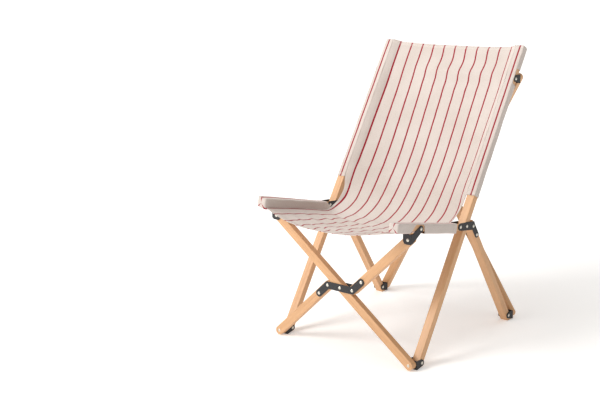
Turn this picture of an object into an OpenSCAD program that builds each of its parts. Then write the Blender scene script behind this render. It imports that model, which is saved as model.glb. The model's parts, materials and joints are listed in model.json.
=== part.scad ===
// Folding camp chair: two wooden side frames, a front and a rear scissor cross, and a canvas sling.
// The chair faces -Y. Left and right are the sitter's, so left is +X.
// Points in a side frame are written [y, z], measured from the floor below the front foot pin.

/* [Side frames] */
// Distance between the middles of the two side frames
frame_w = 500; // [480:5:520]
// Lean of the back posts, in degrees up from the floor
post_lean = 55.5; // [55:0.25:56]
// Height of the front foot pin above the floor
foot_pin_h = 14; // [14:0.5:15]
// Height of the rear foot pin above the floor
heel_pin_h = 17; // [16:0.5:18]
// From the front foot pin up the post to the side hinge pin
post_hinge = 422; // [420:1:424]
// From the front foot pin up the post to the upper rear bracket pin
post_bracket = 904.3; // [890:0.1:920]
// From the front foot pin to the top of the post
post_top = 1008; // [1000:1:1020]
// From the side hinge pin to the rail pin
hinge_to_rail = 33; // [32:0.5:34]
// Direction of the rail pin from the side hinge pin, in degrees
rail_pin_dir = 171; // [170:0.5:172]
// From the rail pin to the rail bracket pin
rail_span = 197.5; // [197:0.5:201]
// Rise of the seat rail towards the front, in degrees
rail_rise = 12; // [11.5:0.25:12.5]
// Tilt of the rail's middle line against the line through its two pins
rail_tilt = 1.6; // [1:0.1:2]
// Rail past its bracket pin, at the front
rail_front = 103; // [95:1:110]
// From the side hinge pin to the rear foot pin
leg_reach = 410; // [406:0.5:412]
// Distance of the leg's middle line from the side hinge pin
leg_offset = 25.5; // [25:0.25:26.5]

/* [Sticks] */
// Width of every stick, across the chair or in the plane of a cross
stick_w = 27; // [26.5:0.25:27]
// Thickness of every stick
stick_t = 20; // [19:0.25:20]
// Radius of the rounded long edges
edge_r = 2; // [1:0.25:3]

/* [Metalwork] */
// Thickness of brackets
bracket_t = 2.5; // [2:0.25:2.5]
// Thickness of side plates and centre plates
plate_t = 2; // [1.5:0.25:2]
// Half the width of the plates' arms
plate_r = 11; // [10:0.5:11]
// Radius of the pivot pins
pin_r = 3; // [2.5:0.25:3]
// Radius of the rivet heads
head_r = 4.7; // [4:0.1:5]
// Height of the rivet heads
head_h = 1.5; // [1.3:0.1:1.6]
// Thickness of the nylon washers
washer_t = 0.4; // [0.3:0.1:0.5]
// From the middle of a foot bracket's pin to the middle of the cross stick
foot_reach = 35; // [34:0.5:36]
// From the middle of a rail bracket's pin forward to the middle of the cross stick
rail_reach = 29; // [28.5:0.25:30]
// From the rail bracket's pin down to the cross stick's pin
rail_drop = 26; // [25:0.5:27]
// Spacing of the three rivets across the middle of a cross
centre_pitch = 47; // [47:0.5:49]
// From a middle rivet to the end rivet on a half stick
arm_pitch = 46; // [40:1:50]

/* [Canvas] */
// Thickness of the sleeve walls
cloth_t = 1.5; // [1:0.25:1.5]
// Thickness of the soft panels
panel_t = 3; // [2:0.5:4]
// Distance up the post to the lower end of the post sleeve
sleeve_low = 515; // [500:1:530]
// Slack of the rail sleeve below the rail
sleeve_slack = 5; // [4:0.5:6]

/* [Hidden] */
$fn = 48;

LEFT = 1;
RIGHT = -1;
fit = 0.06;                 // running clearance of a pin in its bore
gap = 0.4;                  // gap between flat faces that slide past each other
play = 0.02;                // play under the rivet heads
bore_r = pin_r + fit;
half_w = frame_w / 2;
half_t = stick_t / 2;
tab_r = 9.5;                // rounding of a bracket's tabs
web_high = 11;              // a foot bracket's web above its pin
tab_gap = stick_w / 2 + gap;            // inner face of a bracket's tabs
tab_out = tab_gap + bracket_t;          // and their outer face
foot_web = foot_reach - half_t - gap;   // outer face of a foot bracket's web
rail_web = rail_reach + half_t + gap;   // inner face of a rail bracket's web
side_gap = stick_w / 2 + washer_t;      // inner face of a side plate
side_out = side_gap + plate_t;
centre_gap = half_t + washer_t;         // inner face of a centre plate
centre_out = centre_gap + plate_t;

// Directions and distances in a side frame
function dir(a) = [cos(a), sin(a)];
function angle_of(v) = atan2(v[1], v[0]);

foot_pin = [0, foot_pin_h];
hinge_pin = foot_pin + post_hinge * dir(post_lean);
rail_pin = hinge_pin + hinge_to_rail * dir(rail_pin_dir);
rail_dir = 180 - rail_rise;
front_pin = rail_pin + rail_span * dir(rail_dir);
back_pin = foot_pin + post_bracket * dir(post_lean);
// A point of the rail's middle line, from its bracket pin forward, and a distance below it
function on_rail(s, n) = (rail_pin + front_pin) / 2 + (s + rail_span / 2) * dir(rail_dir - rail_tilt)
    + n * dir(rail_dir - rail_tilt + 90);
leg_long = sqrt(leg_reach * leg_reach - leg_offset * leg_offset);
leg_drop = asin((hinge_pin[1] - heel_pin_h) / leg_reach);
leg_dir = -leg_drop - atan2(leg_offset, leg_long);      // down the leg, from the hinge to the heel
leg_start = hinge_pin + leg_offset * dir(leg_dir + 90);
heel_pin = leg_start + leg_long * dir(leg_dir);
leg_rivet = 23;             // first leg rivet, below the point nearest the hinge pin
leg_rivet_pitch = 35;       // and the second below the first
leg_top = 5.5;              // the leg's top end, below the same point
rivet_1 = leg_start + leg_rivet * dir(leg_dir);
rivet_2 = rivet_1 + leg_rivet_pitch * dir(leg_dir);

// The two crosses: lean of their planes, and height between their end pins in those planes
front_line = front_pin - foot_pin;
front_reach_diff = foot_reach - rail_reach;
front_rise = sqrt(front_line * front_line - front_reach_diff * front_reach_diff) - rail_drop;
front_lean = angle_of(front_line) - atan2(front_reach_diff, front_rise + rail_drop);
// A front foot bracket's web ends on the floor
web_low = (foot_pin_h + (foot_web - bracket_t) * cos(front_lean)) / sin(front_lean);
rear_line = back_pin - heel_pin;
rear_rise = norm(rear_line);
rear_lean = angle_of(rear_line);

// Origin: middle of the floor below the whole chair
sleeve_front = rail_front + 2;
sleeve_rear = rail_span - 20;
sleeve_top = post_top + 4;
post_end_rear = foot_pin + sleeve_top * dir(post_lean) + (half_t + gap / 2 + cloth_t) * dir(post_lean - 90);
front_y = on_rail(sleeve_front, half_t + sleeve_slack + cloth_t + gap / 2)[0];
middle_y = (front_y + post_end_rear[0]) / 2;

// Line down the middle of the sling, from the top of the back to the front of the seat:
// points in front of (+) or behind (-) the post's middle line, then points of the seat
sling_back = [
    [1014, -17], [930, -18], [860, -24], [790, -28.5], [720, -33], [650, -36], [585, -35], [549, -31],
    [513, -26]];
sling_seat = [
    [280, 391], [232, 361], [197, 350], [140, 345.5], [80, 352.5], [20, 363.5], [-36, 374.5], [-90, 384.5]];
function on_post(s, n) = foot_pin + s * dir(post_lean) + n * dir(post_lean + 90);
sling_middle = concat([for (p = sling_back) on_post(p[0], p[1])], sling_seat);
// Its edges: behind the posts, round the side hinge, then under the rails
sling_edge = concat(
    [for (s = [sleeve_top, 930, 860, 790, 720, 650, 585, 550, sleeve_low]) on_post(s, -4.5)],
    [[268, 398], [222, 366]],
    [for (s = [-sleeve_rear, -120, -60, 0, 52, sleeve_front]) on_rail(s, 14.5)]);
sling_half = half_w - tab_out - head_h - 0.6;
sling_steps = 16;
split = 9;                  // station where the back panel ends and the seat panel starts

// ---------- helpers ----------

// Puts a side-frame part on one side of the chair; inner faces of the right side mirror the left
module on_side(side) {
    translate([0, -middle_y, 0])
        if (side == LEFT) translate([half_w, 0, 0]) children();
        else translate([-half_w, 0, 0]) mirror([1, 0, 0]) children();
}

// Local +Y runs along direction a from point p, local +Z is a quarter turn on
module along(p, a) {
    translate([0, p[0], p[1]]) rotate([a, 0, 0]) children();
}

// Extrudes a [y, z] outline across the chair
module across(h) {
    rotate([90, 0, 90]) linear_extrude(height = h, center = true) children();
}

// Extrudes an [x, z] outline along Y, centred
module deep(h) {
    rotate([90, 0, 0]) linear_extrude(height = h, center = true) children();
}

// Round bar across the chair
module cross_pin(r, h) {
    rotate([0, 90, 0]) cylinder(r = r, h = h, center = true);
}

// Round bar along local Y, from y0 to y1
module deep_pin(r, y0, y1) {
    translate([0, y0, 0]) rotate([-90, 0, 0]) cylinder(r = r, h = y1 - y0);
}

module capsule(p, q, r) {
    d = q - p;
    translate(p) circle(r);
    translate(q) circle(r);
    translate(p) rotate(angle_of(d)) translate([0, -r]) square([norm(d), 2 * r]);
}

module rounded_section(w, t) {
    square([w - 2 * edge_r, t], center = true);
    square([w, t - 2 * edge_r], center = true);
    for (x = [-1, 1], y = [-1, 1])
        translate([x * (w / 2 - edge_r), y * (t / 2 - edge_r)]) circle(edge_r, $fn = 24);
}

// Stick along local Y from y0 to y1, width across X, thickness along Z, with rounded long edges
module bar(y0, y1) {
    translate([0, y0, 0]) rotate([-90, 0, 0]) linear_extrude(height = y1 - y0)
        rounded_section(stick_w, stick_t);
}

// Rivet head standing on the plane y = 0, towards -Y
module dome(r, h) {
    rotate([90, 0, 0]) rotate_extrude() intersection() {
        translate([0, h - (r * r + h * h) / (2 * h)]) circle((r * r + h * h) / (2 * h), $fn = 96);
        square([r, h]);
    }
}

// Rivet along local Y with a head at each end
module rivet_y(y0, y1) {
    deep_pin(pin_r, y0 - 0.1, y1 + 0.1);
    translate([0, y0 - play, 0]) dome(head_r, head_h);
    translate([0, y1 + play, 0]) rotate([0, 0, 180]) dome(head_r, head_h);
}

// Rivet across the chair, its heads outside +-h
module rivet_x(h) {
    rotate([0, 0, 90]) rivet_y(-h, h);
}

// ---------- side frames ----------

module post() {
    color("BurlyWood") along(foot_pin, post_lean) difference() {
        intersection() {
            bar(-half_t, post_top);
            across(stick_w + 1) {
                circle(half_t);
                translate([0, -half_t]) square([post_top - 3, stick_t]);
                translate([0, 3 - half_t]) square([post_top, stick_t - 6]);
            }
        }
        for (s = [0, post_hinge, post_bracket])
            translate([0, s, 0]) cross_pin(bore_r, stick_w + 2);
    }
}

rail_rear = 11;             // rail past its own pin, at the rear
rail_long = rail_span + rail_front + rail_rear;

// Tilts a rail part round the middle between the two pins, at distance s along it
module tilted(s) {
    translate([0, s, 0]) rotate([-rail_tilt, 0, 0]) translate([0, -s, 0]) children();
}

module rail() {
    color("BurlyWood") along(rail_pin, rail_dir) difference() {
        tilted(rail_span / 2) intersection() {
            bar(-rail_rear, rail_span + rail_front);
            across(stick_w + 1) {
                translate([3 - rail_rear, -half_t]) square([rail_long - 6, stick_t]);
                translate([-rail_rear, 3 - half_t]) square([rail_long, stick_t - 6]);
            }
        }
        for (s = [0, rail_span])
            translate([0, s, 0]) cross_pin(bore_r, stick_w + 2);
    }
}

// The leg's foot is cut level with the floor
module leg() {
    color("BurlyWood") difference() {
        along(leg_start, leg_dir) difference() {
            intersection() {
                bar(leg_top, leg_long + 40);
                across(stick_w + 1) {
                    translate([leg_top + 3, -half_t]) square([leg_long + 40, stick_t]);
                    translate([leg_top, 3 - half_t]) square([leg_long + 40, stick_t - 6]);
                }
            }
            for (s = [leg_rivet, leg_rivet + leg_rivet_pitch, leg_long])
                translate([0, s, 0]) cross_pin(bore_r, stick_w + 2);
        }
        translate([-50, heel_pin[0] - 100, -60]) cube([100, 200, 60]);
    }
}

// Half circle round c, from direction a onwards
function arc(c, r, a, n = 16) = [for (i = [0 : n]) c + r * dir(a + 180 * i / n)];

// Where the line through p along d crosses the line through q along e
function meet(p, d, q, e) = p + d * cross(q - p, e) / cross(d, e);

// Side plate: an arm over the rail, post and leg pins, and a narrower arm down the leg
module side_plate_outline() {
    arm = rivet_1 - rail_pin;
    turn = angle_of(arm) + 90;
    beside = (plate_r - 2) * dir(leg_dir + 90);
    inner = meet(rail_pin - plate_r * dir(turn), arm, rivet_1 - beside, dir(leg_dir));
    polygon(concat(
        arc(rail_pin, plate_r, turn), [inner],
        arc(rivet_2, plate_r - 2, leg_dir - 90),
        [rivet_1 + beside, rivet_1 + [5, 13], rivet_1 + [1, 15]]));
}

module side_plate(x) {
    color([0.12, 0.12, 0.13]) translate([x, 0, 0]) difference() {
        across(plate_t) side_plate_outline();
        for (p = [rail_pin, hinge_pin, rivet_1, rivet_2])
            translate([0, p[0], p[1]]) cross_pin(bore_r, plate_t + 1);
    }
}

module side_rivets() {
    color("Silver") for (p = [rail_pin, hinge_pin, rivet_1, rivet_2])
        translate([0, p[0], p[1]]) rivet_x(side_out);
}

module side_washers() {
    color("WhiteSmoke") for (p = [rail_pin, hinge_pin, rivet_1, rivet_2], x = [-1, 1])
        translate([x * (side_gap - washer_t / 2 + 0.05), p[0], p[1]]) difference() {
            cross_pin(7, washer_t - 0.1);
            cross_pin(bore_r, washer_t + 1);
        }
}

// ---------- brackets ----------
// Drawn round their own pin: X across the chair, Y away from the cross, Z up the cross's plane

module foot_tab_outline() {
    circle(tab_r);
    polygon([[0, web_high], [-foot_web, web_high], [-foot_web, -web_low], [0, -tab_r]]);
}

module foot_bracket() {
    color([0.12, 0.12, 0.13]) difference() {
        union() {
            for (x = [-1, 1]) translate([x * (tab_gap + bracket_t / 2), 0, 0])
                across(bracket_t) foot_tab_outline();
            translate([-tab_out, -foot_web, -web_low])
                cube([2 * tab_out, bracket_t, web_high + web_low]);
        }
        cross_pin(bore_r, 2 * tab_out + 1);
        deep_pin(bore_r, -foot_web - 1, -foot_web + bracket_t + 1);
    }
}

// Pivot rivet, and the tail of the cross stick's rivet behind the web
module foot_rivets() {
    color("Silver") {
        rivet_x(tab_out);
        translate([0, bracket_t - foot_web + play, 0]) rotate([0, 0, 180]) dome(head_r, head_h);
    }
}

rail_web_low = rail_drop + 13;
rail_web_high = 9;

module rail_tab_outline(low) {
    circle(tab_r);
    polygon([[-7, 6.4], [-rail_web - bracket_t, -rail_web_high], [-rail_web - bracket_t, -low],
        [-rail_web, -low], [9, -4]]);
}

// The inner tab stops above the cross stick, which leaves under it towards the middle
module rail_bracket() {
    color([0.12, 0.12, 0.13]) difference() {
        union() {
            translate([tab_gap + bracket_t / 2, 0, 0]) across(bracket_t) rail_tab_outline(rail_web_low - 4);
            translate([-tab_gap - bracket_t / 2, 0, 0]) across(bracket_t) intersection() {
                rail_tab_outline(rail_web_low);
                translate([-rail_web - bracket_t, -15.5]) square([80, 40]);
            }
            translate([0, -rail_web - bracket_t / 2, 0]) deep(bracket_t) rail_web_outline();
        }
        cross_pin(bore_r, 2 * tab_out + 1);
        translate([0, 0, -rail_drop])
            deep_pin(bore_r, -rail_web - bracket_t - 1, -rail_web + 1);
    }
}

module rail_web_outline() {
    translate([-tab_out, -rail_drop]) square([2 * tab_out, rail_drop - rail_web_high]);
    translate([0, -rail_drop]) intersection() {
        circle(tab_out);
        translate([-tab_out, -13]) square([2 * tab_out, 20]);
    }
}

module rail_bracket_rivet() {
    color("Silver") rivet_x(tab_out);
}

// ---------- crosses ----------
// Drawn in their own plane: X across, Z up, from the height of the lower pins; Y = 0 is mid-thickness

function cross_angle(rise) = atan2(frame_w, rise);
function cross_long(rise) = norm([frame_w, rise]);
function half_dir(rise) = atan2(half_w - centre_pitch, rise / 2);
function half_long(rise) = norm([half_w - centre_pitch, rise / 2]);

// Flat stick between two pins, both ends round, from the origin up along Z
module cross_stick(length, bores) {
    color("BurlyWood") difference() {
        intersection() {
            translate([0, 0, -half_w]) linear_extrude(height = length + frame_w)
                rounded_section(stick_w, stick_t);
            deep(stick_t + 1) capsule([0, 0], [0, length], stick_w / 2);
        }
        for (s = bores) translate([0, 0, s]) deep_pin(bore_r, -half_t - 1, half_t + 1);
    }
}

module long_stick(rise) {
    translate([half_w, 0, 0]) rotate([0, -cross_angle(rise), 0])
        cross_stick(cross_long(rise), [0, cross_long(rise) / 2, cross_long(rise)]);
}

module lower_stick(rise) {
    translate([-half_w, 0, 0]) rotate([0, half_dir(rise), 0])
        cross_stick(half_long(rise), [0, half_long(rise) - arm_pitch, half_long(rise)]);
}

module upper_stick(rise) {
    translate([0, 0, rise]) rotate([0, 180, 0]) lower_stick(rise);
}

function centre_rivets(rise) = [
    for (x = [-1, 0, 1]) [x * centre_pitch, rise / 2]];
function arm_rivets(rise) = [
    for (x = [-1, 1]) [x * (centre_pitch + arm_pitch * sin(half_dir(rise))),
        rise / 2 + x * arm_pitch * cos(half_dir(rise))]];
function all_rivets(rise) = concat(centre_rivets(rise), arm_rivets(rise));

// Zigzag plate with mitred corners and round ends
module centre_plate_outline(rise) {
    arms = arm_rivets(rise);
    row = centre_rivets(rise);
    turn = (90 - half_dir(rise)) / 2;
    corner = plate_r / cos(turn) * [-sin(turn), cos(turn)];
    side = 90 + 2 * turn;
    polygon(concat(
        arc(arms[0], plate_r, side), [row[0] - corner, row[2] - corner],
        arc(arms[1], plate_r, side - 180), [row[2] + corner, row[0] + corner]));
}

module centre_plate(rise, y) {
    color([0.12, 0.12, 0.13]) difference() {
        translate([0, y, 0]) deep(plate_t) centre_plate_outline(rise);
        for (p = all_rivets(rise)) translate([p[0], y, p[1]]) deep_pin(bore_r, -plate_t, plate_t);
    }
}

module centre_rivet_set(rise) {
    color("Silver") for (p = all_rivets(rise))
        translate([p[0], 0, p[1]]) rivet_y(-centre_out, centre_out);
}

module centre_washer_set(rise) {
    color("WhiteSmoke") for (p = all_rivets(rise), y = [-1, 1])
        translate([p[0], y * (centre_gap - washer_t / 2 + 0.05), p[1]]) difference() {
            deep_pin(7, 0.05 - washer_t / 2, washer_t / 2 - 0.05);
            deep_pin(bore_r, -1, 1);
        }
}

// Rivet through a cross stick's end only; its tail beyond the foot bracket's web is with the bracket
module loose_end_rivet() {
    deep_pin(pin_r, -half_t - 0.1, half_t);
    translate([0, -half_t - play, 0]) dome(head_r, head_h);
}

// Rivet through a cross stick's end and a foot bracket's web
module heel_end_rivet() {
    rivet_y(-half_t, half_t + gap + bracket_t);
}

// Rivet through a rail bracket's web and a cross stick's end
module rail_end_rivet() {
    rivet_y(-half_t - gap - bracket_t, half_t);
}

module at_front_foot() {
    translate([0, foot_pin[0], foot_pin[1]]) rotate([front_lean - 90, 0, 0]) children();
}

module at_rail() {
    translate([0, front_pin[0], front_pin[1]]) rotate([front_lean - 90, 0, 0]) children();
}

module at_heel() {
    translate([0, heel_pin[0], heel_pin[1]]) rotate([rear_lean - 90, 0, 0]) mirror([0, 1, 0]) children();
}

module at_back() {
    translate([0, back_pin[0], back_pin[1]]) rotate([rear_lean - 90, 0, 0]) mirror([0, 1, 0]) children();
}

// Lower end of the straight stick at the left foot, upper end at the right bracket
module long_ends(rise) {
    color("Silver") {
        translate([half_w, 0, 0]) children(0);
        translate([-half_w, 0, rise]) children(1);
    }
}

module half_ends(rise) {
    color("Silver") {
        translate([-half_w, 0, 0]) children(0);
        translate([half_w, 0, rise]) children(1);
    }
}

module front_long_end_rivets() {
    long_ends(front_rise) {
        loose_end_rivet();
        rail_end_rivet();
    }
}

module front_half_end_rivets() {
    half_ends(front_rise) {
        loose_end_rivet();
        rail_end_rivet();
    }
}

module rear_long_end_rivets() {
    long_ends(rear_rise) {
        heel_end_rivet();
        loose_end_rivet();
    }
}

module rear_half_end_rivets() {
    half_ends(rear_rise) {
        loose_end_rivet();
        loose_end_rivet();
    }
}

module front_plane() {
    p = foot_pin + foot_reach * dir(front_lean + 90);
    translate([0, p[0] - middle_y, p[1]]) rotate([front_lean - 90, 0, 0]) children();
}

// The rear cross is drawn facing backwards
module rear_plane() {
    p = heel_pin + foot_reach * dir(rear_lean - 90);
    translate([0, p[0] - middle_y, p[1]]) rotate([rear_lean - 90, 0, 0]) mirror([0, 1, 0]) children();
}

// ---------- canvas ----------

// Square tube round a stick along local Y from y0 to y1, with slack on the side towards low Z
module sleeve(y0, y1, slack_low) {
    inner_w = stick_w + gap;
    inner_t = stick_t + gap;
    difference() {
        translate([-inner_w / 2 - cloth_t, y0, -inner_t / 2 - cloth_t - slack_low])
            cube([inner_w + 2 * cloth_t, y1 - y0, inner_t + 2 * cloth_t + slack_low]);
        translate([-inner_w / 2, y0 - 1, -inner_t / 2 - slack_low])
            cube([inner_w, y1 - y0 + 2, inner_t + slack_low]);
    }
}

// The post sleeve is cut away at the sides and rear round the back bracket
module post_sleeve() {
    color("AntiqueWhite") along(foot_pin, post_lean) difference() {
        sleeve(sleeve_low, sleeve_top, 0);
        translate([-30, post_bracket - 20, -30]) cube([60, 52, half_t + 30]);
    }
}

// The rail sleeve is notched from below round the rail bracket
module rail_sleeve() {
    color("AntiqueWhite") along(front_pin, rail_dir) difference() {
        tilted(-rail_span / 2) mirror([0, 0, 1]) sleeve(-sleeve_rear, sleeve_front, sleeve_slack);
        across(60) polygon([[-35, 21], [54, 21], [24, -half_t], [-13, -half_t]]);
    }
}

function sling_point(i, x) =
    let (k = 1 - pow(abs(x), 2.6), p = sling_edge[i] + k * (sling_middle[i] - sling_edge[i]))
    [x * sling_half, p[0] - middle_y, p[1]];

function sling_along(i) =
    let (d = sling_middle[min(i + 1, len(sling_middle) - 1)] - sling_middle[max(i - 1, 0)])
    [0, d[0], d[1]] / norm(d);
function sling_normal(i) = let (d = sling_along(i)) [0, d[2], -d[1]];

// Closed sheet between two stations of the sling, just clear of the sheet before it
module sling_panel(first, last) {
    rows = last - first + 1;
    cols = sling_steps + 1;
    size = rows * cols;
    points = [for (side = [-1, 1], i = [first : last], j = [0 : sling_steps])
        sling_point(i, 2 * j / sling_steps - 1) + side * panel_t / 2 * sling_normal(i)
            + (i == first ? 0.3 * sling_along(i) : [0, 0, 0])];
    sheet = [for (i = [0 : rows - 2], j = [0 : cols - 2])
        let (a = i * cols + j) [[a, a + 1, a + cols + 1], [a, a + cols + 1, a + cols]]];
    flat = [for (quad = sheet, tri = quad) tri];
    rim_a = [for (j = [0 : cols - 2]) [j + 1, j]];
    rim_b = [for (j = [0 : cols - 2]) [(rows - 1) * cols + j, (rows - 1) * cols + j + 1]];
    rim_c = [for (i = [0 : rows - 2]) [i * cols, (i + 1) * cols]];
    rim_d = [for (i = [0 : rows - 2]) [(i + 2) * cols - 1, (i + 1) * cols - 1]];
    rim = [for (e = concat(rim_a, rim_b, rim_c, rim_d))
        for (tri = [[e[0], e[1], e[1] + size], [e[0], e[1] + size, e[0] + size]]) tri];
    faces = concat(flat, [for (f = flat) [f[2] + size, f[1] + size, f[0] + size]], rim);
    color("AntiqueWhite") polyhedron(points = points, faces = faces);
}

// ---------- nodes ----------

on_side(LEFT) post();  // left_post
on_side(RIGHT) post();  // right_post
on_side(LEFT) rail();  // left_rail
on_side(RIGHT) rail();  // right_rail
on_side(LEFT) leg();  // left_leg
on_side(RIGHT) leg();  // right_leg
on_side(LEFT) side_plate(side_gap + plate_t / 2);  // left_outer_plate
on_side(LEFT) side_plate(-side_gap - plate_t / 2);  // left_inner_plate
on_side(RIGHT) side_plate(side_gap + plate_t / 2);  // right_outer_plate
on_side(RIGHT) side_plate(-side_gap - plate_t / 2);  // right_inner_plate
on_side(LEFT) side_rivets();  // left_side_rivets
on_side(RIGHT) side_rivets();  // right_side_rivets
on_side(LEFT) side_washers();  // left_side_washers
on_side(RIGHT) side_washers();  // right_side_washers
on_side(LEFT) at_front_foot() foot_bracket();  // left_foot_bracket
on_side(RIGHT) at_front_foot() foot_bracket();  // right_foot_bracket
on_side(LEFT) at_front_foot() foot_rivets();  // left_foot_rivets
on_side(RIGHT) at_front_foot() foot_rivets();  // right_foot_rivets
on_side(LEFT) at_rail() rail_bracket();  // left_rail_bracket
on_side(RIGHT) at_rail() rail_bracket();  // right_rail_bracket
on_side(LEFT) at_rail() rail_bracket_rivet();  // left_rail_bracket_rivet
on_side(RIGHT) at_rail() rail_bracket_rivet();  // right_rail_bracket_rivet
on_side(LEFT) at_heel() foot_bracket();  // left_heel_bracket
on_side(RIGHT) at_heel() foot_bracket();  // right_heel_bracket
on_side(LEFT) at_heel() rail_bracket_rivet();  // left_heel_rivets
on_side(RIGHT) at_heel() foot_rivets();  // right_heel_rivets
on_side(LEFT) at_back() foot_bracket();  // left_back_bracket
on_side(RIGHT) at_back() foot_bracket();  // right_back_bracket
on_side(LEFT) at_back() foot_rivets();  // left_back_rivets
on_side(RIGHT) at_back() foot_rivets();  // right_back_rivets
front_plane() long_stick(front_rise);  // front_long_stick
front_plane() lower_stick(front_rise);  // front_lower_stick
front_plane() upper_stick(front_rise);  // front_upper_stick
front_plane() centre_plate(front_rise, -centre_gap - plate_t / 2);  // front_centre_plate_outer
front_plane() centre_plate(front_rise, centre_gap + plate_t / 2);  // front_centre_plate_inner
front_plane() centre_rivet_set(front_rise);  // front_centre_rivets
front_plane() centre_washer_set(front_rise);  // front_centre_washers
front_plane() front_long_end_rivets();
front_plane() front_half_end_rivets();
rear_plane() long_stick(rear_rise);  // rear_long_stick
rear_plane() lower_stick(rear_rise);  // rear_lower_stick
rear_plane() upper_stick(rear_rise);  // rear_upper_stick
rear_plane() centre_plate(rear_rise, -centre_gap - plate_t / 2);  // rear_centre_plate_outer
rear_plane() centre_plate(rear_rise, centre_gap + plate_t / 2);  // rear_centre_plate_inner
rear_plane() centre_rivet_set(rear_rise);  // rear_centre_rivets
rear_plane() centre_washer_set(rear_rise);  // rear_centre_washers
rear_plane() rear_long_end_rivets();
rear_plane() rear_half_end_rivets();
on_side(LEFT) post_sleeve();  // left_post_sleeve
on_side(RIGHT) post_sleeve();  // right_post_sleeve
on_side(LEFT) rail_sleeve();  // left_rail_sleeve
on_side(RIGHT) rail_sleeve();  // right_rail_sleeve
sling_panel(0, split);  // back_panel
sling_panel(split, len(sling_middle) - 1);  // seat_panel
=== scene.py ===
"""Folding camp chair: beech sticks, black metalwork and a striped canvas sling."""
import json
import math

import bmesh
import bpy
from mathutils import Matrix, Vector


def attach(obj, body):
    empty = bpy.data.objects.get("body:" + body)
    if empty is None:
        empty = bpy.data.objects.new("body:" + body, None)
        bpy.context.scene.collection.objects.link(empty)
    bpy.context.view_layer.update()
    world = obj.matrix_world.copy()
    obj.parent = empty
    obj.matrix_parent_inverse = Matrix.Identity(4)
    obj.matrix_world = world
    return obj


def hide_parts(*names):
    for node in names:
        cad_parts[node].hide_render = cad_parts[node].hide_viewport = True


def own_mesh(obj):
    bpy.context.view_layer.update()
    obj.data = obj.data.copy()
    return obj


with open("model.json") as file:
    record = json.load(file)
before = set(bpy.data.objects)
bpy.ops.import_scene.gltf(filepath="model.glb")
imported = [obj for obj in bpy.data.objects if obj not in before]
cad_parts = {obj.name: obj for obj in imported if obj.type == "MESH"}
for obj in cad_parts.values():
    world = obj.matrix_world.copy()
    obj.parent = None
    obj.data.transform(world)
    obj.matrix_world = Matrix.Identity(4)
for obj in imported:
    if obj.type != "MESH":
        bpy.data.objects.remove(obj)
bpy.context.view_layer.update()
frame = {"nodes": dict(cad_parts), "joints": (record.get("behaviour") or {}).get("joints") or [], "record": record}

# ---------- camera ----------


def make_camera():
    cam = bpy.data.cameras.new("camera")
    cam.sensor_fit = "HORIZONTAL"
    cam.sensor_width = 36.0
    cam.lens = 68.52
    cam.shift_x = -0.012
    cam.shift_y = -0.0327
    obj = bpy.data.objects.new("camera", cam)
    bpy.context.scene.collection.objects.link(obj)
    turn = (Matrix.Rotation(math.radians(42.30), 4, "Z")
            @ Matrix.Rotation(math.radians(90 - 13.60), 4, "X")
            @ Matrix.Rotation(math.radians(-2.86), 4, "Z"))
    foot = next(j for j in frame["joints"] if j["name"] == "left_foot_pivot")
    obj.matrix_world = Matrix.Translation((2.093, foot["pos_m"][1] - 2.457, 1.286)) @ turn
    bpy.context.scene.camera = obj


make_camera()

# ---------- materials ----------


def new_material(name):
    mat = bpy.data.materials.new(name)
    mat.use_nodes = True
    nt = mat.node_tree
    nt.nodes.clear()
    out = nt.nodes.new("ShaderNodeOutputMaterial")
    bsdf = nt.nodes.new("ShaderNodeBsdfPrincipled")
    nt.links.new(bsdf.outputs[0], out.inputs["Surface"])
    return mat, nt, bsdf


def node(nt, kind, **values):
    n = nt.nodes.new(kind)
    for key, value in values.items():
        if key in n.bl_rna.properties:
            setattr(n, key, value)
        else:
            n.inputs[key.replace("_", " ")].default_value = value
    return n


def ramp(nt, fac, stops):
    n = nt.nodes.new("ShaderNodeValToRGB")
    while len(n.color_ramp.elements) < len(stops):
        n.color_ramp.elements.new(0.5)
    for el, (pos, col) in zip(n.color_ramp.elements, stops):
        el.position = pos
        el.color = (*col, 1.0)
    nt.links.new(fac, n.inputs[0])
    return n.outputs[0]


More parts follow.
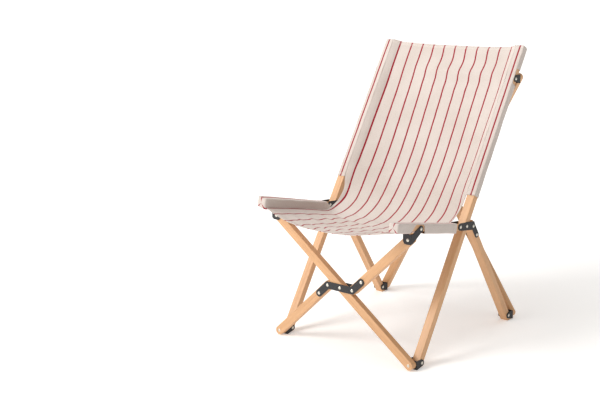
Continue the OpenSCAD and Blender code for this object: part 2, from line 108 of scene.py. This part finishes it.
def wood(name, direction, seed):
    """Beech with its grain along direction."""
    mat, nt, bsdf = new_material(name)
    coord = node(nt, "ShaderNodeTexCoord")
    mapping = node(nt, "ShaderNodeMapping", vector_type="POINT")
    turn = Vector(direction).to_track_quat("Z", "X").inverted()
    mapping.inputs["Rotation"].default_value = turn.to_euler()
    mapping.inputs["Location"].default_value = (seed * 0.37, seed * 0.61, seed * 0.13)
    nt.links.new(coord.outputs["Object"], mapping.inputs["Vector"])
    stretch = node(nt, "ShaderNodeVectorMath", operation="MULTIPLY")
    stretch.inputs[1].default_value = (1.0, 1.0, 0.06)
    nt.links.new(mapping.outputs[0], stretch.inputs[0])
    fibre = node(nt, "ShaderNodeTexNoise", Scale=420.0, Detail=6.0, Roughness=0.65)
    nt.links.new(stretch.outputs[0], fibre.inputs["Vector"])
    broad = node(nt, "ShaderNodeTexNoise", Scale=60.0, Detail=3.0, Roughness=0.5)
    nt.links.new(stretch.outputs[0], broad.inputs["Vector"])
    mix = node(nt, "ShaderNodeMix", data_type="FLOAT")
    mix.inputs["Factor"].default_value = 0.5
    nt.links.new(fibre.outputs[0], mix.inputs[2])
    nt.links.new(broad.outputs[0], mix.inputs[3])
    colour = ramp(nt, mix.outputs[0], [
        (0.30, (0.53, 0.285, 0.135)), (0.47, (0.66, 0.375, 0.19)), (0.68, (0.74, 0.45, 0.245))])
    nt.links.new(colour, bsdf.inputs["Base Color"])
    rough = node(nt, "ShaderNodeMapRange", From_Min=0.3, From_Max=0.7, To_Min=0.38, To_Max=0.55)
    nt.links.new(fibre.outputs[0], rough.inputs["Value"])
    nt.links.new(rough.outputs[0], bsdf.inputs["Roughness"])
    bump = node(nt, "ShaderNodeBump", Strength=0.12, Distance=0.0004)
    nt.links.new(fibre.outputs[0], bump.inputs["Height"])
    nt.links.new(bump.outputs[0], bsdf.inputs["Normal"])
    return mat


def powder_coat():
    mat, nt, bsdf = new_material("powder_coat")
    coord = node(nt, "ShaderNodeTexCoord")
    grain = node(nt, "ShaderNodeTexNoise", Scale=900.0, Detail=4.0, Roughness=0.6)
    nt.links.new(coord.outputs["Object"], grain.inputs["Vector"])
    colour = ramp(nt, grain.outputs[0], [(0.35, (0.012, 0.012, 0.014)), (0.7, (0.045, 0.045, 0.05))])
    nt.links.new(colour, bsdf.inputs["Base Color"])
    rough = node(nt, "ShaderNodeMapRange", To_Min=0.5, To_Max=0.75)
    nt.links.new(grain.outputs[0], rough.inputs["Value"])
    nt.links.new(rough.outputs[0], bsdf.inputs["Roughness"])
    bump = node(nt, "ShaderNodeBump", Strength=0.5, Distance=0.0004)
    nt.links.new(grain.outputs[0], bump.inputs["Height"])
    nt.links.new(bump.outputs[0], bsdf.inputs["Normal"])
    return mat


def rivet_metal():
    mat, nt, bsdf = new_material("rivet_metal")
    coord = node(nt, "ShaderNodeTexCoord")
    grain = node(nt, "ShaderNodeTexNoise", Scale=700.0, Detail=3.0)
    nt.links.new(coord.outputs["Object"], grain.inputs["Vector"])
    colour = ramp(nt, grain.outputs[0], [(0.3, (0.62, 0.58, 0.50)), (0.7, (0.80, 0.77, 0.70))])
    nt.links.new(colour, bsdf.inputs["Base Color"])
    bsdf.inputs["Metallic"].default_value = 0.9
    rough = node(nt, "ShaderNodeMapRange", To_Min=0.25, To_Max=0.42)
    nt.links.new(grain.outputs[0], rough.inputs["Value"])
    nt.links.new(rough.outputs[0], bsdf.inputs["Roughness"])
    return mat


def nylon():
    mat, nt, bsdf = new_material("nylon")
    coord = node(nt, "ShaderNodeTexCoord")
    grain = node(nt, "ShaderNodeTexNoise", Scale=500.0, Detail=2.0)
    nt.links.new(coord.outputs["Object"], grain.inputs["Vector"])
    colour = ramp(nt, grain.outputs[0], [(0.3, (0.62, 0.61, 0.57)), (0.7, (0.72, 0.71, 0.67))])
    nt.links.new(colour, bsdf.inputs["Base Color"])
    bsdf.inputs["Roughness"].default_value = 0.5
    return mat


def long_axis(name):
    """The direction a stick's mesh runs in, from its largest spread."""
    obj = frame["nodes"][name]
    pts = [v.co for v in obj.data.vertices]
    mid = sum(pts, Vector()) / len(pts)
    far = max(pts, key=lambda p: (p - mid).length)
    axis = (far - mid).normalized()
    for _ in range(12):
        total = Vector()
        for p in pts:
            d = p - mid
            total += d * d.dot(axis)
        axis = total.normalized()
    return axis


BLACK = powder_coat()
STEEL = rivet_metal()
NYLON = nylon()
SLOT = {row["node"]: row["material_slot"] for row in frame["record"]["subparts"]}
for seed, (name, slot) in enumerate(sorted(SLOT.items())):
    obj = frame["nodes"][name]
    if slot == "wood":
        mat = wood("beech_" + name, long_axis(name), seed)
    elif slot == "metalwork":
        mat = BLACK
    elif slot == "rivets":
        mat = STEEL
    elif slot == "washers":
        mat = NYLON
    else:
        continue
    for s in obj.material_slots:
        s.material = mat

# ---------- canvas ----------
# Points are in millimetres: u = (y, z) in a side frame, x across the chair.

MM = 0.001
PIN = {j["name"]: Vector(j["pos_m"]) / MM for j in frame["joints"]}
SIDE_X = PIN["left_fold"].x
RAIL_TILT = math.radians(1.6)
PITCH = 42.6            # from stripe to stripe
PANEL_X = 234.8         # inner face of the sleeves
VALLEY_X = 213.0        # the cloth dips here, beside the sleeves
SLEEVE_A, SLEEVE_B = 15.2, 11.7     # half the width and half the depth of a sleeve
RAIL_BOTTOM = 16.7      # bottom of a rail sleeve, below the rail's middle line
RAIL_INNER = 19.3       # inner face of a rail sleeve, clear of the bracket inside it
POST_SLEEVE = (515.0, 1013.0)
RAIL_SLEEVE = (-177.5, 106.0)       # from the bracket pin forward


def side_point(v):
    return Vector((v.y, v.z))


def turned(v, angle):
    return Vector((v.x * math.cos(angle) - v.y * math.sin(angle),
                   v.x * math.sin(angle) + v.y * math.cos(angle)))


FOOT = side_point(PIN["left_foot_pivot"])
BACK_PIN = side_point(PIN["left_back_pivot"])
POST_UP = (BACK_PIN - FOOT).normalized()
POST_FRONT = turned(POST_UP, math.pi / 2)
RAIL_REAR_PIN = side_point(PIN["left_rail_pivot"])
RAIL_PIN = side_point(PIN["left_rail_bracket_pivot"])
RAIL_MID = (RAIL_REAR_PIN + RAIL_PIN) / 2
RAIL_HALF = (RAIL_PIN - RAIL_REAR_PIN).length / 2
RAIL_FWD = turned((RAIL_PIN - RAIL_REAR_PIN).normalized(), -RAIL_TILT)
RAIL_DOWN = turned(RAIL_FWD, math.pi / 2)


def on_post(s, n, x=0):
    return FOOT + s * POST_UP + n * POST_FRONT


def on_rail(s, n):
    return RAIL_MID + (s + RAIL_HALF) * RAIL_FWD + n * RAIL_DOWN


def from_foot(y, z):
    return Vector((FOOT.x + y, z))


def station(middle, valley, edge, width=PANEL_X):
    return (*middle, *valley, *edge, width)


def back_station(s, middle, valley):
    return station(on_post(s, middle), on_post(s, valley), on_post(s, SLEEVE_B - 1.2))


def seat_station(y, z, s, rise=2.4):
    middle, edge, width = from_foot(y, z), on_rail(s, RAIL_BOTTOM - 5), SIDE_X - RAIL_INNER
    valley = middle + (edge - middle) * (VALLEY_X / width) ** rise
    return station(middle, valley, edge, width)


# From the top of the back down, round behind the side hinge, and forward to the front of the seat.
# Each station has a point of the middle line, of the valley beside the sleeves, and of the cloth's edge.
STATIONS = [
    back_station(1013, -17, -4), back_station(930, -18, -5), back_station(860, -24, -8),
    back_station(790, -28.5, -7), back_station(720, -33, -6), back_station(650, -36, -6),
    back_station(585, -35, -4), back_station(549, -31, -1),
    station(on_post(513, -26), on_post(513, -2), on_post(513, 9), 233),
    station(from_foot(285, 396), from_foot(277, 409), from_foot(272, 415), 228),
    station(from_foot(252, 371), from_foot(256, 384), from_foot(251, 392), 225),
    station(from_foot(203, 351), from_foot(221, 367), from_foot(219, 372), 223),
    seat_station(157, 346, -174), seat_station(108, 350, -114), seat_station(60, 356, -60),
    seat_station(0, 367, 0), seat_station(-50, 376, 52), seat_station(-92, 384, 105)]
SPLIT = 9               # the seat cloth starts at this station
# Sizes the cloth was cut to. Widths are stripes times pitch; lengths are those of the middle line.
BACK_STRIPES = 2 * 5.63             # stripe spacings from sleeve to sleeve on the back
SEAT_STRIPES = (10.70, 10.46)       # the same at the back and at the front of the seat
BACK_LENGTH, SEAT_LENGTH = 541.0, 395.0
SLEEVE_RADIUS = 4.0
HALF_CORNER = 3.1       # half the way round a corner of a sleeve
CLOTH_THICKNESS = 1.2


def spline(t):
    """Smooth curve through the stations."""
    i = min(int(t), len(STATIONS) - 2)
    f = t - i
    p = [STATIONS[max(0, min(k, len(STATIONS) - 1))] for k in (i - 1, i, i + 1, i + 2)]
    return [0.5 * (2 * b + (c - a) * f + (2 * a - 5 * b + 4 * c - d) * f * f
                   + (3 * b - a - 3 * c + d) * f ** 3) for a, b, c, d in zip(*p)]


def smooth(a, b, v):
    f = min(max((v - a) / (b - a), 0.0), 1.0)
    return f * f * (3 - 2 * f)


def stripe_phase(t, x, width):
    """Cloth coordinate across the sling, in stripes from the middle one."""
    plain = x / PITCH
    if abs(x) > VALLEY_X and t < 8.5:
        plain = math.copysign(5 + 0.63 * (abs(x) - VALLEY_X) / (width - VALLEY_X), x)
    shifted = (x + 17) / 45.4 - 0.30 * smooth(-190, -229, x)
    drawn = 0.05 * math.sin(2.3 * math.pi * t + 0.02 * x) * smooth(11, 12.5, t)
    return plain + (shifted - plain) * smooth(10.5, 15.5, t) + drawn * smooth(215, 150, abs(x))


def ripple(t, x):
    """Slack in the cloth, along its normal."""
    across = max(0.0, 1 - (abs(x) / 215) ** 4)
    top = 4.2 * math.sin(2.1 * math.pi * t - 0.004 * x + 0.6) * smooth(2.6, 0.5, t) * smooth(-190, 60, x)
    waves = 2 * math.pi * (0.95 * t - 0.0016 * x)
    seat = 1.6 * (math.sin(waves) + 0.35 * math.sin(2 * waves + 0.5)) * smooth(10.8, 12.5, t)
    seat *= smooth(120, -60, x) * (1 - 0.6 * smooth(16.2, 17, t))
    fine = 0.35 * math.sin(0.05 * x + 5.3 * t) * math.sin(0.023 * x - 3.1 * t)
    return across * (top + seat + fine)


def sling_point(t, x_share):
    my, mz, vy, vz, ey, ez, width = spline(t)
    middle, valley, edge = Vector((my, mz)), Vector((vy, vz)), Vector((ey, ez))
    x = x_share * width
    if abs(x) < VALLEY_X:
        low = -24 * smooth(11, 16, t)
        reach = VALLEY_X - low if x > low else VALLEY_X + low
        u = middle + (valley - middle) * (abs(x - low) / reach) ** 2.5
    else:
        f = (abs(x) - VALLEY_X) / (width - VALLEY_X)
        u = valley + (edge - valley) * f ** 0.75
    ahead, behind = spline(min(t + 0.05, len(STATIONS) - 1)), spline(max(t - 0.05, 0))
    along = Vector((ahead[0] - behind[0], ahead[1] - behind[1])).normalized()
    u += ripple(t, x) * Vector((along.y, -along.x))
    return Vector((x, u.x, u.y)), stripe_phase(t, x, width)


def mesh_object(name, verts, faces, cloth_uvs, hem_uvs, material=None):
    """cloth_uvs: stripes across, pitches along. hem_uvs: mm from the nearest hem, mm along it."""
    me = bpy.data.meshes.new(name)
    me.from_pydata([Vector(v) * MM for v in verts], [], faces)
    for layer_name, values in (("cloth", cloth_uvs), ("hem", hem_uvs)):
        layer = me.uv_layers.new(name=layer_name)
        flat = [uv for face in values for uv in face]
        for loop, uv in zip(layer.data, flat):
            loop.uv = uv
    for p in me.polygons:
        p.use_smooth = True
    if material:
        me.materials.append(material)
    obj = bpy.data.objects.new(name, me)
    bpy.context.scene.collection.objects.link(obj)
    return obj


def apply_modifiers(obj):
    bpy.context.view_layer.update()
    deps = bpy.context.evaluated_depsgraph_get()
    made = bpy.data.meshes.new_from_object(obj.evaluated_get(deps), depsgraph=deps)
    obj.modifiers.clear()
    obj.data = made


def thicken(obj, thickness):
    m = obj.modifiers.new("thickness", "SOLIDIFY")
    m.thickness = thickness * MM
    m.offset = -1.0
    apply_modifiers(obj)
    obj.data.set_sharp_from_angle(angle=math.radians(50))


def grid_faces(rows, columns, closed):
    """Quads of a grid, as vertex numbers and as (row, column) pairs for their UVs."""
    wide = columns if closed else columns + 1
    faces, cells = [], []
    for i in range(rows):
        for j in range(columns):
            ring = [(i, j), (i, j + 1), (i + 1, j + 1), (i + 1, j)]
            faces.append([r * wide + c % wide for r, c in ring])
            cells.append(ring)
    return faces, cells


def sling_cloth(name, t0, t1, hem_at, material, columns=110, step=0.055):
    rows = round((t1 - t0) / step)
    grid, verts, length, last = [], [], 0.0, None
    for i in range(rows + 1):
        t = t0 + (t1 - t0) * i / rows
        middle = sling_point(t, 0.0)[0]
        length += (middle - last).length if last else 0.0
        last = middle
        for j in range(columns + 1):
            p, phase = sling_point(t, 1 - 2 * j / columns)
            verts.append(p)
            grid.append((phase, length, p.x))
    faces, cells = grid_faces(rows, columns, False)
    hem_length = 0.0 if hem_at == t0 else length
    cloth, hem = [], []
    for ring in cells:
        data = [grid[r * (columns + 1) + c] for r, c in ring]
        cloth.append([(phase, along / PITCH) for phase, along, _ in data])
        hem.append([(abs(along - hem_length), x) for _, along, x in data])
    obj = mesh_object(name, verts, faces, cloth, hem, material)
    thicken(obj, CLOTH_THICKNESS)
    return obj


def rounded_loop(corners, radius=SLEEVE_RADIUS, spacing=5.0, arc=6):
    points = []
    for k, c in enumerate(corners):
        ahead = corners[(k + 1) % len(corners)]
        before, after = (c - corners[k - 1]).normalized(), (ahead - c).normalized()
        centre = c + radius * (after - before)
        for i in range(arc + 1):
            q = math.pi / 2 * i / arc
            points.append(centre + radius * (before * math.sin(q) - after * math.cos(q)))
        side = (ahead - c).length - 2 * radius
        steps = round(side / spacing)
        points += [c + after * (radius + side * i / steps) for i in range(1, steps)]
    return points


def sleeve_cloth(name, side, corners, place, span, phase_of, cut, reach, material, flap=0.0):
    """Sleeve on a stick: open and hemmed at span[0], closed and rounded at span[1].

    corners go round the section from the inner edge where the sling is sewn on; place(s, n, x) is a
    point of the side frame; cut is the outline (s, n) of the opening for a bracket, taken out from
    x = reach outwards. flap is how far the inner wall goes on past the hem at its bottom, over the
    side hinge."""
    loop = rounded_loop([Vector(c) for c in corners])
    columns = len(loop)
    middle = sum(loop, Vector((0, 0))) / columns
    around = [0.0]
    for j in range(columns):
        around.append(around[-1] + (loop[(j + 1) % columns] - loop[j]).length)
    around = [d - HALF_CORNER for d in around]
    s0, s1 = span
    straight = max(2, round((s1 - 6 - s0) / 7))
    stations = [(s0 + (s1 - 6 - s0) * i / straight, 1.0) for i in range(straight + 1)]
    stations += [(s1 - 6 + 6 * math.sin(q), 1 - 0.30 * (1 - math.cos(q)))
                 for q in (math.pi / 8, math.pi / 4, 3 * math.pi / 8, math.pi / 2)]
    stations += [(s1 + 0.4 * k, 0.7 - 0.22 * k) for k in (1, 2, 3)]
    verts, along, length = [], [], 0.0
    for i, (s, size) in enumerate(stations):
        if i:
            step = Vector((s - stations[i - 1][0], 14 * (size - stations[i - 1][1])))
            length += step.length
        along.append(length)
        hem = 0.7 * smooth(11, 9, s - s0)
        for j, p in enumerate(loop):
            out = (p - middle).normalized()
            wave = 0.45 * math.sin(0.055 * s + 1.7 * out.x + 2.3 * out.y) * math.sin(0.021 * s + 3 * out.y)
            q = middle + (p - middle) * size + out * (hem + wave * size)
            u = place(s, q.y, q.x)
            verts.append(Vector((side * (SIDE_X + q.x), u.x, u.y)))
    rows = len(stations) - 1
    faces, cells = grid_faces(rows, columns, True)
    cloth = [[(phase_of(around[c]), along[r] / PITCH) for r, c in ring] for ring in cells]
    hem = [[(along[r], around[c]) for r, c in ring] for ring in cells]
    faces.append([rows * columns + j for j in range(columns)])
    cloth.append([(0.5, length / PITCH)] * columns)
    hem.append([(length, 0.0)] * columns)
    if flap:
        inner = [j for j, p in enumerate(loop) if p.x < loop[6].x + 0.01]
        low, high = loop[inner[0]].y, loop[inner[-1]].y
        steps, last = 5, [(j, 0) for j in inner]
        for k in range(1, steps + 1):
            row = []
            for j in inner:
                longer = 3 + (flap - 3) * (high - loop[j].y) / (high - low)
                u = place(s0 - longer * k / steps, loop[j].y, loop[j].x)
                row.append((len(verts), longer * (1 - k / steps)))
                verts.append(Vector((side * (SIDE_X + loop[j].x), u.x, u.y)))
            for i in range(len(inner) - 1):
                faces.append([row[i][0], row[i + 1][0], last[i + 1][0], last[i][0]])
                pair = (inner[i], inner[i + 1], inner[i + 1], inner[i])
                cloth.append([(phase_of(around[j]), -0.1 * k) for j in pair])
                edge = (row[i][1], row[i + 1][1], last[i + 1][1], last[i][1])
                hem.append([(d, around[j]) for d, j in zip(edge, pair)])
            last = row
    if side < 0:
        faces = [f[::-1] for f in faces]
        cloth = [c[::-1] for c in cloth]
        hem = [h[::-1] for h in hem]
    obj = mesh_object(name, verts, faces, cloth, hem, material)
    bm = bmesh.new()
    bm.from_mesh(obj.data)
    centre = sum(verts, Vector()) / len(verts) * MM
    bm.faces.ensure_lookup_table()
    face = bm.faces[columns // 2 + (rows // 2) * columns]
    if face.normal.dot(face.calc_center_median() - centre) < 0:
        bmesh.ops.reverse_faces(bm, faces=bm.faces)
    bm.to_mesh(obj.data)
    bm.free()
    thicken(obj, CLOTH_THICKNESS)
    cut_away(obj, side, place, cut, reach)
    return obj


def cut_away(obj, side, place, outline, reach):
    """Takes an opening out of a sleeve, from reach outwards."""
    points = rounded_loop([Vector(c) for c in outline], radius=5.0, spacing=60.0)
    count = len(points)
    verts = []
    for x in (reach, 40):
        for s, n in points:
            u = place(s, n)
            verts.append(Vector((side * (SIDE_X + x), u.x, u.y)))
    faces = [[j, (j + 1) % count, count + (j + 1) % count, count + j] for j in range(count)]
    faces += [list(range(count))[::-1], list(range(count, 2 * count))]
    blank = [[(0.5, 0.0)] * len(f) for f in faces]
    cutter = mesh_object(obj.name + "_cutter", verts, faces, blank, blank)
    bm = bmesh.new()
    bm.from_mesh(cutter.data)
    bmesh.ops.recalc_face_normals(bm, faces=bm.faces)
    bm.to_mesh(cutter.data)
    bm.free()
    m = obj.modifiers.new("opening", "BOOLEAN")
    m.operation = "DIFFERENCE"
    m.solver = "EXACT"
    m.object = cutter
    apply_modifiers(obj)
    bpy.data.objects.remove(cutter)


def canvas():
    """Cream canvas with red stripes, a plain weave and stitched hems."""
    mat, nt, bsdf = new_material("striped_canvas")
    link = nt.links.new

    def math_node(operation, a, b=None):
        n = node(nt, "ShaderNodeMath", operation=operation)
        for socket, value in zip(n.inputs, (a, b)):
            if value is None:
                continue
            if isinstance(value, (int, float)):
                socket.default_value = value
            else:
                link(value, socket)
        return n.outputs[0]

    uv = node(nt, "ShaderNodeUVMap", uv_map="cloth")
    split = node(nt, "ShaderNodeSeparateXYZ")
    link(uv.outputs[0], split.inputs[0])
    across, along = split.outputs[0], split.outputs[1]
    # Slubs in the yarn: long thin noise each way
    slubs = []
    for scale in ((90, 9, 1), (9, 90, 1)):
        stretch = node(nt, "ShaderNodeVectorMath", operation="MULTIPLY")
        stretch.inputs[1].default_value = scale
        link(uv.outputs[0], stretch.inputs[0])
        noise = node(nt, "ShaderNodeTexNoise", Scale=1.0, Detail=3.0, Roughness=0.6)
        link(stretch.outputs[0], noise.inputs["Vector"])
        slubs.append(noise.outputs[0])
    yarn = math_node("ADD", math_node("MULTIPLY", slubs[0], 0.5), math_node("MULTIPLY", slubs[1], 0.5))
    coord = node(nt, "ShaderNodeTexCoord")
    broad = node(nt, "ShaderNodeTexNoise", Scale=9.0, Detail=2.0)
    link(coord.outputs["Object"], broad.inputs["Vector"])
    shade = math_node("ADD", math_node("MULTIPLY", yarn, 0.8), math_node("MULTIPLY", broad.outputs[0], 0.2))
    cream = ramp(nt, shade, [
        (0.36, (0.53, 0.45, 0.40)), (0.50, (0.63, 0.56, 0.52)), (0.64, (0.70, 0.63, 0.60))])
    red = ramp(nt, yarn, [(0.38, (0.25, 0.008, 0.022)), (0.62, (0.38, 0.018, 0.040))])
    off = math_node("ABSOLUTE", math_node("SUBTRACT", across, math_node("ROUND", across)))
    ragged = math_node("ADD", off, math_node("MULTIPLY", math_node("SUBTRACT", slubs[1], 0.5), 0.016))
    stripe = node(nt, "ShaderNodeMapRange", From_Min=0.056, From_Max=0.068, To_Min=1.0, To_Max=0.0)
    link(ragged, stripe.inputs["Value"])
    mix = node(nt, "ShaderNodeMix", data_type="RGBA")
    link(stripe.outputs[0], mix.inputs[0])
    link(cream, mix.inputs[6])
    link(red, mix.inputs[7])
    # Two rows of stitches along each hem
    hem = node(nt, "ShaderNodeUVMap", uv_map="hem")
    edge = node(nt, "ShaderNodeSeparateXYZ")
    link(hem.outputs[0], edge.inputs[0])
    rows = math_node("ABSOLUTE", math_node("SUBTRACT", math_node("ABSOLUTE", math_node(
        "SUBTRACT", edge.outputs[0], 8.0)), 2.0))
    near = math_node("LESS_THAN", rows, 0.45)
    dash = math_node("LESS_THAN", math_node("FRACT", math_node("MULTIPLY", edge.outputs[1], 1 / 3.4)), 0.68)
    stitch = math_node("MULTIPLY", near, dash)
    thread = node(nt, "ShaderNodeMix", data_type="RGBA")
    thread.inputs[7].default_value = (0.90, 0.84, 0.76, 1)
    link(math_node("MULTIPLY", stitch, 0.8), thread.inputs[0])
    link(mix.outputs[2], thread.inputs[6])
    link(thread.outputs[2], bsdf.inputs["Base Color"])
    bsdf.inputs["Roughness"].default_value = 0.92
    bsdf.inputs["Specular IOR Level"].default_value = 0.25
    bsdf.inputs["Sheen Weight"].default_value = 0.12
    bsdf.inputs["Sheen Roughness"].default_value = 0.5
    # Plain weave, about one thread a millimetre each way
    threads = 2 * math.pi * 21
    weave = math_node("MULTIPLY", math_node("SINE", math_node("MULTIPLY", across, threads)),
                      math_node("SINE", math_node("MULTIPLY", along, threads)))
    height = math_node("ADD", math_node("MULTIPLY", weave, 0.35), math_node("MULTIPLY", yarn, 0.9))
    groove = math_node("MULTIPLY", math_node("LESS_THAN", rows, 0.7), -0.7)
    height = math_node("ADD", height, math_node("ADD", groove, math_node("MULTIPLY", stitch, 1.2)))
    bump = node(nt, "ShaderNodeBump", Strength=0.35, Distance=0.0006)
    link(height, bump.inputs["Height"])
    link(bump.outputs[0], bsdf.inputs["Normal"])
    return mat


CANVAS = canvas()


def add_sling():
    back = sling_cloth("back_cloth", 0, SPLIT, 0, CANVAS)
    seat_end = len(STATIONS) - 1
    seat = sling_cloth("seat_cloth", SPLIT + 0.004, seat_end, seat_end, CANVAS)
    # Each cloth goes with its stick and takes the place of the panel from model.glb
    for obj, body, panel, sleeves, length, stripes in (
            (back, "left_post", "back_panel", "post_sleeve", BACK_LENGTH, BACK_STRIPES),
            (seat, "left_rail", "seat_panel", "rail_sleeve", SEAT_LENGTH, sum(SEAT_STRIPES) / 2)):
        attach(obj, body)
        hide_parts(panel)
        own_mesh(obj)


def add_sleeves():
    a, b = SLEEVE_A, SLEEVE_B
    post_corners = [(-a, b), (a, b), (a, -b), (-a, -b)]
    rail_corners = [(-RAIL_INNER, -RAIL_BOTTOM), (-RAIL_INNER, b), (a, b), (a, -RAIL_BOTTOM)]
    bracket = (BACK_PIN - FOOT).length
    post_top, rail_top, flap, past = 9.8, 9.5, 29.0, -30
    post_cut = [(bracket - 19, past), (bracket - 19, post_top),
                (bracket + 31, post_top), (bracket + 31, past)]
    rail_cut = [(-26, past), (-14, rail_top), (24, rail_top), (60, past)]
    # What the openings take out of the cut cloth, and what the flap adds to it
    for side, hand in ((1, "left"), (-1, "right")):
        post = sleeve_cloth(hand + "_post_sleeve_cloth", side, post_corners, on_post, POST_SLEEVE,
                            lambda d: 5.63 + d / 41.5, post_cut, -40, CANVAS)
        declare_sleeve(post, hand, "post")
        place = above_rail if side > 0 else above_right_rail
        rail = sleeve_cloth(hand + "_rail_sleeve_cloth", side, rail_corners, place, RAIL_SLEEVE,
                            lambda d: 5 + d / 45, rail_cut, -18.0, CANVAS, flap)
        declare_sleeve(rail, hand, "rail")


def declare_sleeve(obj, hand, stick):
    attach(obj, f"{hand}_{stick}")
    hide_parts(f"{hand}_{stick}_sleeve")


def above_rail(s, n, x=0):
    return on_rail(s, -n)


def above_right_rail(s, n, x=0):
    """The right sleeve stands a little taller towards the front, most of all on its outer side."""
    forward = min(max((s - RAIL_SLEEVE[0]) / (RAIL_SLEEVE[1] - RAIL_SLEEVE[0]), 0), 1)
    taller = 5 * smooth(-18, 14, n) + 6 * smooth(-14, 15, x)
    return on_rail(s + 4 * forward ** 3, -n - taller * forward)


add_sling()
add_sleeves()

# ---------- floor and light ----------


def add_floor():
    bm = bmesh.new()
    bmesh.ops.create_grid(bm, x_segments=2, y_segments=2, size=60.0)
    me = bpy.data.meshes.new("floor")
    bm.to_mesh(me)
    bm.free()
    obj = bpy.data.objects.new("floor", me)
    bpy.context.scene.collection.objects.link(obj)
    mat, nt, bsdf = new_material("floor")
    bsdf.inputs["Base Color"].default_value = (0.9, 0.9, 0.9, 1)
    bsdf.inputs["Roughness"].default_value = 0.9
    bsdf.inputs["Specular IOR Level"].default_value = 0.1
    bsdf.inputs["Emission Color"].default_value = (1, 1, 1, 1)
    # Painted light: the floor glows, weakly near the chair so its shadows still show, and more strongly further
    # out
    coord = node(nt, "ShaderNodeTexCoord")
    reach = node(nt, "ShaderNodeVectorMath", operation="LENGTH")
    nt.links.new(coord.outputs["Object"], reach.inputs[0])
    glow = node(nt, "ShaderNodeMapRange", From_Min=0.8, From_Max=3.5, To_Min=0.30, To_Max=0.80)
    nt.links.new(reach.outputs["Value"], glow.inputs["Value"])
    nt.links.new(glow.outputs[0], bsdf.inputs["Emission Strength"])
    me.materials.append(mat)


def area_light(name, place, target, size, power, colour=(1, 1, 1)):
    light = bpy.data.lights.new(name, "AREA")
    light.shape = "SQUARE"
    light.size = size
    light.energy = power
    light.color = colour
    obj = bpy.data.objects.new(name, light)
    bpy.context.scene.collection.objects.link(obj)
    look = (Vector(target) - Vector(place)).to_track_quat("-Z", "Y")
    obj.matrix_world = Matrix.Translation(place) @ look.to_matrix().to_4x4()


add_floor()
area_light("key", (-2.2, -3.2, 3.0), (0, 0, 0.4), 2.0, 155, (1.0, 0.98, 0.95))
area_light("top", (-0.3, 0.2, 4.0), (0, 0, 0), 3.0, 60)
world = bpy.data.worlds.new("world")
bpy.context.scene.world = world
world.use_nodes = True
world.node_tree.nodes["Background"].inputs[0].default_value = (1.0, 0.96, 0.90, 1)
world.node_tree.nodes["Background"].inputs[1].default_value = 0.37
bpy.context.scene.view_settings.view_transform = "Standard"
